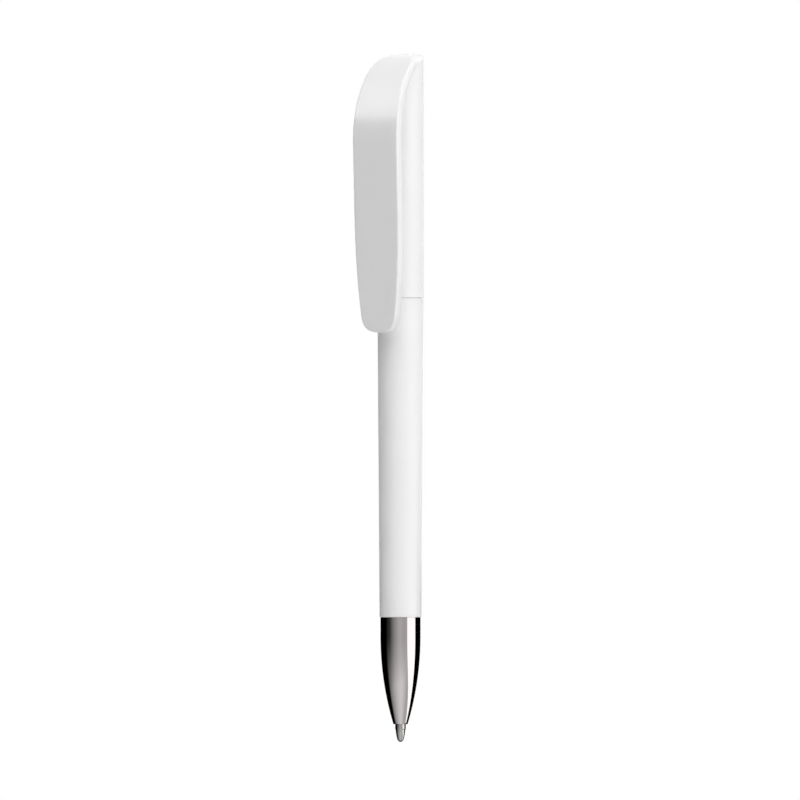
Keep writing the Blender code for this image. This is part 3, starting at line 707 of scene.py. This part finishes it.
def make_white_abs():
    material, tree, place = new_material("white_abs_gloss_moulded")
    flow = add(tree, "TexNoise", {"Vector": place, "Scale": 1 / FLOW_PATCH, "Detail": 3.0})
    tone = add(tree, "MixRGB", [flow, colour("F2F2F2"), colour("EEEEEE")])
    # real hairlines are far finer; they are drawn this wide, and stretched along the pen, so that they show
    along = add(tree, "Mapping", {"Vector": place, "Scale": (1, 1, 1 / HAIRLINE_STRETCH)})
    hairline = add(tree, "TexNoise", {"Vector": along, "Scale": 1 / HAIRLINE, "Detail": 2.0})
    scuffed = add(tree, "MapRange", [hairline, *HAIRLINE_PEAKS, *HAIRLINE_ROUGHNESS])
    cloudy = add(tree, "MapRange", [flow, *NOISE_SPAN, *GLOSS_ROUGHNESS])
    rough = add(tree, "Math", [cloudy, scuffed], operation="ADD")
    ripple = add(tree, "TexNoise", {"Vector": place, "Scale": 1 / RIPPLE, "Detail": 2.0})
    bump = add(tree, "Bump", {"Height": ripple, "Strength": 0.5, "Distance": RIPPLE_DEPTH})
    finish = {"Base Color": tone, "Roughness": rough, "Normal": bump, "IOR": 1.5}
    shader = add(tree, "BsdfPrincipled", finish)
    add(tree, "OutputMaterial", {"Surface": shader})
    return material


white_abs = make_white_abs()
print("made", white_abs.name)

# %% [markdown]
# ### Chrome plate
# The nose is polished brass with a bright chrome plate. Chrome is a pale, nearly neutral grey that looks
# white or black by what it mirrors. The polishing wheel leaves very fine lines round the cone and a
# slight haze that comes and goes, and the plate follows the brass in long shallow waves. A flawless
# mirror would look computed, so two noises, one of them stretched round the axis, change the roughness a
# little.

# %% Chrome plate
HAZE_PATCH = 3 * MM
HAZE_ROUGHNESS = (0.008, 0.02)
POLISH_LINE = 0.1 * MM
POLISH_STRETCH = 20
POLISH_PEAKS = (0.4, 0.8)
POLISH_ROUGHNESS = (0.0, 0.01)
WAVE_DEPTH = 0.001 * MM


def make_chrome():
    material, tree, place = new_material("chrome_plate_polished")
    haze = add(tree, "TexNoise", {"Vector": place, "Scale": 1 / HAZE_PATCH, "Detail": 4.0})
    tone = add(tree, "MixRGB", [haze, colour("DAD5D4"), colour("D4CFCE")])
    # polishing lines are finer than 0.01 mm; they are drawn ten times as wide, so that they show
    around = add(tree, "Mapping", {"Vector": place, "Scale": (1 / POLISH_STRETCH, 1 / POLISH_STRETCH, 1)})
    lines = add(tree, "TexNoise", {"Vector": around, "Scale": 1 / POLISH_LINE, "Detail": 2.0})
    hazy = add(tree, "MapRange", [haze, *NOISE_SPAN, *HAZE_ROUGHNESS])
    lined = add(tree, "MapRange", [lines, *POLISH_PEAKS, *POLISH_ROUGHNESS])
    rough = add(tree, "Math", [hazy, lined], operation="ADD")
    wave = add(tree, "Bump", {"Height": haze, "Strength": 0.4, "Distance": WAVE_DEPTH})
    finish = {"Base Color": tone, "Roughness": rough, "Normal": wave, "Metallic": 1.0}
    shader = add(tree, "BsdfPrincipled", finish)
    add(tree, "OutputMaterial", {"Surface": shader})
    return material


chrome_plate = make_chrome()
print("made", chrome_plate.name)

# %% [markdown]
# ### Nickel silver
# The refill's point is turned from nickel silver, a pale grey metal with hardly any warmth. The lathe
# leaves tiny rings all along it, and the air a faint tarnish in patches. A Wave texture with its bands
# along Z draws rings on any turned shape, with no need to unwrap it.

# %% Nickel silver
# at a scale of 1, Blender's Wave texture has this many bands to a metre
WAVE_BANDS = 20 / math.tau
TOOL_RING = 0.08 * MM
RING_DEPTH = 0.0006 * MM
TARNISH_PATCH = 0.8 * MM
TARNISH_ROUGHNESS = (0.03, 0.07)


def make_nickel_silver():
    material, tree, place = new_material("nickel_silver_turned")
    # the tool's rings are about 0.03 mm apart; they are drawn wider so that they show
    spacing = {"Vector": place, "Scale": 1 / TOOL_RING / WAVE_BANDS, "Distortion": 0.4}
    rings = add(tree, "TexWave", spacing, bands_direction="Z").outputs["Fac"]
    tarnish = add(tree, "TexNoise", {"Vector": place, "Scale": 1 / TARNISH_PATCH, "Detail": 3.0})
    tone = add(tree, "MixRGB", [tarnish, colour("C3C1BD"), colour("B8B6B2")])
    rough = add(tree, "MapRange", [tarnish, 0.0, 1.0, *TARNISH_ROUGHNESS])
    grooves = add(tree, "Bump", {"Height": rings, "Strength": 0.5, "Distance": RING_DEPTH})
    finish = {"Base Color": tone, "Roughness": rough, "Normal": grooves, "Metallic": 1.0}
    shader = add(tree, "BsdfPrincipled", finish)
    add(tree, "OutputMaterial", {"Surface": shader})
    return material


nickel_silver = make_nickel_silver()
print("made", nickel_silver.name)

# %% [markdown]
# ### Tungsten carbide
# The ball is ground and lapped tungsten carbide: darker and greyer than the point and almost a mirror,
# with a fine grain from the carbide's crystals and a film of ink that it carries. A texture of cells
# stands for the crystals and only changes the roughness, because they are too flat to feel.

# %% Tungsten carbide
CRYSTAL = 0.04 * MM
CRYSTAL_ROUGHNESS = (0.08, 0.16)
FILM_PATCH = 0.3 * MM


def make_tungsten_carbide():
    material, tree, place = new_material("tungsten_carbide_lapped")
    # crystals are a few thousandths of a millimetre; they are drawn larger so that they show
    grain = add(tree, "TexVoronoi", {"Vector": place, "Scale": 1 / CRYSTAL})
    film = add(tree, "TexNoise", {"Vector": place, "Scale": 1 / FILM_PATCH, "Detail": 2.0})
    tone = add(tree, "MixRGB", [film, colour("8C8D90"), colour("5A5B66")])
    rough = add(tree, "MapRange", [grain, 0.0, 1.0, *CRYSTAL_ROUGHNESS])
    shader = add(tree, "BsdfPrincipled", {"Base Color": tone, "Roughness": rough, "Metallic": 1.0})
    add(tree, "OutputMaterial", {"Surface": shader})
    return material


tungsten_carbide = make_tungsten_carbide()
print("made", tungsten_carbide.name)

# %% [markdown]
# ### Inside the pen
# The mechanism is hidden, but a part that may be opened needs finished insides too. Acetal is a milky
# white plastic with a satin, waxy skin. Polypropylene is clearer and greyer, drawn or moulded with faint
# lines along it. The ring is dull black nitrile rubber, dusted with talc. Spring and pin are drawn steel
# wire, bright with lines along the draw. The ink is a thick, almost black blue paste. They differ only in
# a few numbers, so one function makes all of them from two noises: a soft one for the tone and a fine one
# for the skin.

# %% How an inside material is made
ROUGHNESS_SPREAD = 0.2


def make_inside(name, light, dark, patch, grain, depth, roughness, stretch=1, metallic=0.0):
    """Two tones in patches, and a grain that may be stretched along Z. Sizes are in metres."""
    material, tree, place = new_material(name)
    patches = add(tree, "TexNoise", {"Vector": place, "Scale": 1 / patch, "Detail": 3.0})
    tone = add(tree, "MixRGB", [patches, colour(light), colour(dark)])
    drawn = add(tree, "Mapping", {"Vector": place, "Scale": (1, 1, 1 / stretch)})
    skin = add(tree, "TexNoise", {"Vector": drawn, "Scale": 1 / grain, "Detail": 2.0})
    smoothest = (1 - ROUGHNESS_SPREAD) * roughness
    roughest = (1 + ROUGHNESS_SPREAD) * roughness
    rough = add(tree, "MapRange", [skin, *NOISE_SPAN, smoothest, roughest])
    bump = add(tree, "Bump", {"Height": skin, "Strength": 0.5, "Distance": depth})
    finish = {"Base Color": tone, "Roughness": rough, "Normal": bump, "Metallic": metallic}
    shader = add(tree, "BsdfPrincipled", finish)
    add(tree, "OutputMaterial", {"Surface": shader})
    return material


print("roughness inside varies by", ROUGHNESS_SPREAD, "of itself")

# %% Inside materials
# satin milky skin, with the mould's fine spark-eroded grain
acetal = make_inside(
    "acetal_satin_moulded", "EAE7DE", "E2DED2",
    patch=4 * MM, grain=0.2 * MM, depth=0.004 * MM, roughness=0.4,
)
# greyer and glossier than acetal, with draw lines along the tube
polypropylene = make_inside(
    "polypropylene_drawn", "D9DAD6", "CFD0CB",
    patch=5 * MM, grain=0.2 * MM, depth=0.003 * MM, roughness=0.28, stretch=12,
)
# dull black with a grey bloom of talc
nitrile_rubber = make_inside(
    "nitrile_rubber_moulded", "18181A", "2B2B2C",
    patch=0.8 * MM, grain=0.12 * MM, depth=0.01 * MM, roughness=0.65,
)
# bright wire with draw lines, finer than 0.02 mm in truth and drawn at 0.08 mm so that they show
steel = make_inside(
    "steel_drawn_wire", "B4B3B0", "9C9B98",
    patch=2 * MM, grain=0.08 * MM, depth=0.002 * MM, roughness=0.25, stretch=6, metallic=1.0,
)
# wet, thick and almost black
ink = make_inside(
    "ballpoint_ink_paste", "10142E", "0A0C1C",
    patch=2 * MM, grain=0.5 * MM, depth=0.01 * MM, roughness=0.12,
)
print("made", acetal.name, polypropylene.name, nitrile_rubber.name, steel.name, ink.name)

# %% [markdown]
# Every piece now gets its finish. New pieces take the material of the record's slot that they belong to. A
# solid that is carried over from the frame already knows its slot, so it only swaps its plain material for
# the new one.

# %% Give every piece its finish
finishes = {
    "white_abs": white_abs,
    "chrome_plate": chrome_plate,
    "nickel_silver": nickel_silver,
    "tungsten_carbide": tungsten_carbide,
    "acetal": acetal,
    "polypropylene": polypropylene,
    "nitrile_rubber": nitrile_rubber,
    "steel": steel,
    "ballpoint_ink": ink,
}
for piece, slot in (
    (nose_cone, "chrome_plate"),
    (lower_barrel, "white_abs"),
    (upper_barrel, "white_abs"),
    (clip, "white_abs"),
    (refill_point, "nickel_silver"),
    (writing_ball, "tungsten_carbide"),
):
    piece.data.materials.clear()
    piece.data.materials.append(finishes[slot])
for subpart in frame["record"]["subparts"]:
    for holder in frame["nodes"][subpart["node"]].material_slots:
        holder.material = finishes[subpart["material_slot"]]

# %% [markdown]
# ## Studio
# The picture is a plain product shot: the pen upright on white, seen level and from far away, a little to
# the right of the clip's front. From far away means without perspective, so the camera is orthographic.
# All directions below are given as it sees them: degrees to the right of the camera, seen from the pen,
# and degrees up.

# %% Camera
CAMERA_AZIMUTH = math.radians(40)
CAMERA_DISTANCE = 0.5
FRAME_HEIGHT = 162.8 * MM
AIM_ABOVE_TIP = 69.6 * MM
AIM_LEFT = 0.1 * MM


def toward(around, up):
    """The direction that lies so many degrees right of the camera and up, seen from the pen."""
    turned = CAMERA_AZIMUTH + math.radians(around)
    level = math.cos(math.radians(up))
    return Vector((math.sin(turned) * level, -math.cos(turned) * level, math.sin(math.radians(up))))


aim = Vector((0, 0, tip + AIM_ABOVE_TIP)) - AIM_LEFT * toward(90, 0)
bpy.ops.object.camera_add(location=aim + CAMERA_DISTANCE * toward(0, 0))
camera = bpy.context.object
camera.rotation_euler = toward(0, 0).to_track_quat("Z", "Y").to_euler()
camera.data.type = "ORTHO"
camera.data.ortho_scale = FRAME_HEIGHT
camera.data.clip_start = 1 * MM
bpy.context.scene.camera = camera
bpy.context.scene.view_settings.view_transform = "Standard"
print("camera at", [round(c, 3) for c in camera.location])

# %% [markdown]
# The floor is a wide pale sheet of paper under the point, which keeps the pen's shadow. A mirror close to
# a white floor would show little else, so reflections look past it to the studio round it.

# %% Floor
FLOOR_SIZE = 4.0
FIBRE = 2 * MM

bpy.ops.object.select_all(action="DESELECT")
bpy.ops.mesh.primitive_plane_add(size=FLOOR_SIZE, location=(0, 0, tip))
floor = bpy.context.object
floor.name = "studio_floor"
floor.visible_glossy = False
# matt paper: an even white with fibres that hardly show
paper, tree, place = new_material("paper_white_matt")
fibre = add(tree, "TexNoise", {"Vector": place, "Scale": 1 / FIBRE, "Detail": 4.0})
tone = add(tree, "MixRGB", [fibre, colour("F6F6F6"), colour("F3F3F3")])
shader = add(tree, "BsdfPrincipled", {"Base Color": tone, "Roughness": 0.9})
add(tree, "OutputMaterial", {"Surface": shader})
floor.data.materials.append(paper)
floor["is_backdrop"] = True
print(floor.name, "lies at", round(tip / MM, 2), "mm")

# %% [markdown]
# The world behind the floor is white to the camera, to mirrors and to glass. For soft light it is much
# dimmer, so that the lamps can shape the pen: a bright world all round would wash out every shade on
# white plastic.

# %% World
AMBIENT = 0.08

world = bpy.data.worlds.new("studio_white")
bpy.context.scene.world = world
world.use_nodes = True
tree = world.node_tree
tree.nodes.clear()
ray = add(tree, "LightPath", {}).outputs
shown = add(tree, "Math", [ray["Is Camera Ray"], ray["Is Glossy Ray"]], operation="MAXIMUM")
shown = add(tree, "Math", [shown, ray["Is Transmission Ray"]], operation="MAXIMUM")
level = add(tree, "MapRange", [shown, 0.0, 1.0, AMBIENT, 1.0])
backdrop = add(tree, "Background", {"Color": colour("FFFFFF"), "Strength": level})
add(tree, "OutputWorld", {"Surface": backdrop})
print(world.name, "gives", AMBIENT, "of its light to soft shading")

# %% [markdown]
# Chrome is only as good as what it mirrors. A picture of a room would do, but cards can be set one by
# one, as a photographer does. Round the pen stands a light tent that only reflections see: a stack of
# three rings of card, with one tall white panel on the right. The low ring is what the nose shows: grey
# in front and behind, with black flags on both flanks, which give it dark edges beside the panel's bright
# stripe. Towards the table its front gets lighter, and the panel moves on to the right and narrows. The
# middle ring is softer, for the barrels. In the high ring hangs a bright card on the left, which flashes
# up the clip's curved top.

# %% The tent's cards
# the tones round a ring: degrees right of the camera, and light
NOSE_CARDS = (
    (-180, 0.5), (-163, 0), (-92, 0), (-62, 0.05), (-35, 0.31), (-10, 0.51), (0, 0.54), (22, 0.47),
    (38, 0.52), (90, 0.52), (92, 0), (163, 0), (180, 0.5),
)
TABLE_CARDS = (
    (-180, 0.75), (-163, 0), (-92, 0), (-80, 0.26), (-55, 0.47), (-25, 0.71), (0, 0.84), (18, 0.8),
    (48, 0.53), (90, 0.53), (92, 0), (163, 0), (180, 0.75),
)
BARREL_CARDS = ((-180, 0.5), (-110, 0.3), (-57, 0.25), (-20, 0.45), (50, 0.47), (97, 0.95), (180, 0.95))
CROWN_CARDS = (
    (-180, 1.2), (-130, 1.5), (-98, 2.1), (-84, 4.2), (-60, 4.2), (-57, 0.47), (97, 0.95), (180, 0.95),
)
BRIGHTEST = max(light for degrees, light in CROWN_CARDS)
PANEL_LIGHT = 1.5
PANEL_LEFT = math.radians(39.5)
PANEL_RIGHT = math.radians(94.2)
print("brightest card", BRIGHTEST)

# %% [markdown]
# The light of a ring is worked out by nodes. The angle round the ring picks a tone from a colour ramp,
# where tones are shares of the brightest card. Below the nose's seat a second ramp, the table's, takes
# over with depth, and the panel's two edges move. A painted image would do too, but nodes keep the
# panel's edges sharp and the numbers in sight.

# %% Light of a ring
# at this depth the table's tones are reached, and the panel's edges have moved by so much; further down
# only the left edge moves on
TABLE_DEPTH = 0.2
LEFT_MOVES = math.radians(20.5)
RIGHT_MOVES = math.radians(8.5)
# above 1, a power makes the change start slowly and then speed up
TONES_POWER = 1.5
LEFT_POWER = 2.2


def make_cards(name, cards, low_cards):
    """Cards that glow by their angle round a ring and change with depth, and the white panel over them."""
    material, tree, place = new_material(name)
    xyz = add(tree, "SeparateXYZ", [place]).outputs
    front = add(tree, "Math", [xyz["Y"], -1.0], operation="MULTIPLY")
    angle = add(tree, "Math", [xyz["X"], front], operation="ARCTAN2")
    share = add(tree, "MapRange", [angle, -math.pi, math.pi, 0.0, 1.0])
    tones = []
    for row in (cards, low_cards):
        ramp = add(tree, "ValToRGB", [share])
        stops = ramp.color_ramp.elements
        while len(stops) < len(row):
            stops.new(0.5)  # its true place comes next
        for stop, (degrees, light) in zip(stops, row):
            stop.position = (degrees + 180) / 360
            stop.color = [light / BRIGHTEST] * 3 + [1]
        tones.append(ramp)
    depth = add(tree, "MapRange", [xyz["Z"], 0.0, -TABLE_DEPTH, 0.0, 1.0], clamp=False)
    below = add(tree, "Math", [depth, 0.0], operation="MAXIMUM")
    change = add(tree, "Math", [below, TONES_POWER], operation="POWER", use_clamp=True)
    tone = add(tree, "MixRGB", [change, *tones])
    slow = add(tree, "Math", [below, LEFT_POWER], operation="POWER")
    left = add(tree, "Math", [slow, LEFT_MOVES, PANEL_LEFT], operation="MULTIPLY_ADD")
    right = add(tree, "Math", [change, RIGHT_MOVES, PANEL_RIGHT], operation="MULTIPLY_ADD")
    past_left = add(tree, "Math", [angle, left], operation="GREATER_THAN")
    before_right = add(tree, "Math", [angle, right], operation="LESS_THAN")
    panel = add(tree, "Math", [past_left, before_right], operation="MULTIPLY")
    white = [PANEL_LIGHT / BRIGHTEST] * 3 + [1]
    shown = add(tree, "MixRGB", [panel, tone, white])
    glow = add(tree, "Emission", {"Color": shown, "Strength": BRIGHTEST})
    add(tree, "OutputMaterial", {"Surface": glow})
    return material


print("a ring's light changes down to", TABLE_DEPTH, "m below the nose's seat")

# %% [markdown]
# Each ring is an open cylinder round the pen, turned so that its front faces the camera. It only shows in
# reflections: the camera looks through it, and lamps shine through it. The low ring reaches far down, so
# that chrome seen from above still mirrors it.

# %% Light tent
TENT_RADIUS = 0.6
TENT_SIDES = 96
TENT_FOOT = -3.0
NOSE_RING_TOP = 0.006
CROWN_RING_FOOT = 0.238
TENT_TOP = 0.95

for name, foot, top, cards, low_cards in (
    ("nose", TENT_FOOT, NOSE_RING_TOP, NOSE_CARDS, TABLE_CARDS),
    ("barrel", NOSE_RING_TOP, CROWN_RING_FOOT, BARREL_CARDS, BARREL_CARDS),
    ("crown", CROWN_RING_FOOT, TENT_TOP, CROWN_CARDS, CROWN_CARDS),
):
    bpy.ops.object.select_all(action="DESELECT")
    bpy.ops.mesh.primitive_cylinder_add(
        vertices=TENT_SIDES,
        radius=TENT_RADIUS,
        depth=top - foot,
        end_fill_type="NOTHING",
        location=(0, 0, (foot + top) / 2),
    )
    ring = bpy.context.object
    bpy.ops.object.transform_apply(location=True, rotation=False, scale=False)
    ring.name = "tent_ring_" + name
    ring.rotation_euler.z = CAMERA_AZIMUTH
    for ray_kind in ("camera", "diffuse", "transmission", "volume_scatter", "shadow"):
        setattr(ring, "visible_" + ray_kind, False)
    ring.data.materials.append(make_cards("tent_cards_" + name, cards, low_cards))
    ring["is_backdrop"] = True
    print(ring.name, "from", foot, "to", top, "m")

# %% [markdown]
# Four soft lamps shape the white plastic. A tall panel front right is the main light, one high in front
# fills and leaves a shadow on the barrel under the clip's toe, and a weak one hangs straight overhead.
# Behind on the right a fourth lights the pen's back and lifts its far edge. Reflections don't see them,
# because the tent has its own panel. The level is plain, so that the plastic renders about as white as
# its colour code says.

# %% Lamps
LAMP_DISTANCE = 1.5
# name, degrees right of the camera, degrees up, width, height, watts
LAMPS = (
    ("lamp_main_panel", 40, 10, 1.0, 2.0, 14.2),
    ("lamp_top_panel", 0, 65, 1.25, 1.25, 16.5),
    ("lamp_overhead", 0, 90, 1.25, 1.25, 2.1),
    ("lamp_back_panel", 135, 10, 1.0, 2.0, 9.5),
)

middle = Vector((0, 0, (tip + pen_top) / 2))
for name, around, up, width, height, watts in LAMPS:
    direction = toward(around, up)
    bpy.ops.object.light_add(type="AREA", location=middle + LAMP_DISTANCE * direction)
    lamp = bpy.context.object
    lamp.name = name
    lamp.rotation_euler = direction.to_track_quat("Z", "Y").to_euler()
    lamp.data.shape = "RECTANGLE"
    lamp.data.size = width
    lamp.data.size_y = height
    lamp.data.energy = watts
    lamp.visible_camera = False
    lamp.visible_glossy = False
print("lamps:", [lamp[0] for lamp in LAMPS])

# %% [markdown]
# ## Sizes and the end
# The dressed pen may not outgrow the solids. Both boxes are printed side by side.

# %% Print both boxes
new_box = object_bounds()
for name, box in (("solids", cad_box), ("dressed", new_box)):
    print(name, [round((high - low) / MM, 2) for low, high in zip(*box)], "mm")
